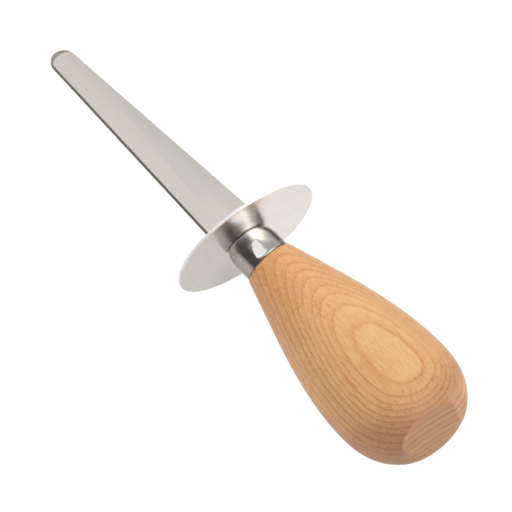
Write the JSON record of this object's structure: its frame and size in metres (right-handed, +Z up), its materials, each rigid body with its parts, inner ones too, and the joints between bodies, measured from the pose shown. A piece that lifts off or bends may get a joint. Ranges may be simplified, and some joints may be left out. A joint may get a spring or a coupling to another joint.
{
  "type": "oyster knife",
  "caption": "Oyster knife with a flat round-tipped lance blade, a round steel guard, a polished ferrule and a flattened pear-shaped wooden handle.",
  "frame": {"origin": "on the table under the middle of the knife's bounding box, with the knife lying on its guard and on the handle's belly", "axes": "+X along the knife towards the tip, +Y across it, +Z up; the handle's axis rises 7.46 degrees towards the tip"},
  "size_m": [0.1615, 0.0457, 0.0457],
  "materials": {
    "blade_steel": "satin, fine lines along the blade",
    "guard_steel": "satin polish",
    "ferrule_steel": "polished, with fine drawing lines",
    "handle_wood": "sanded and oiled, satin",
    "bedding_resin": "hardened resin"
  },
  "bodies": {
    "root": {"blade": "blade_steel", "guard": "guard_steel", "ferrule": "ferrule_steel", "handle": "handle_wood", "tang_bedding": "bedding_resin"}
  },
  "joints": []
}
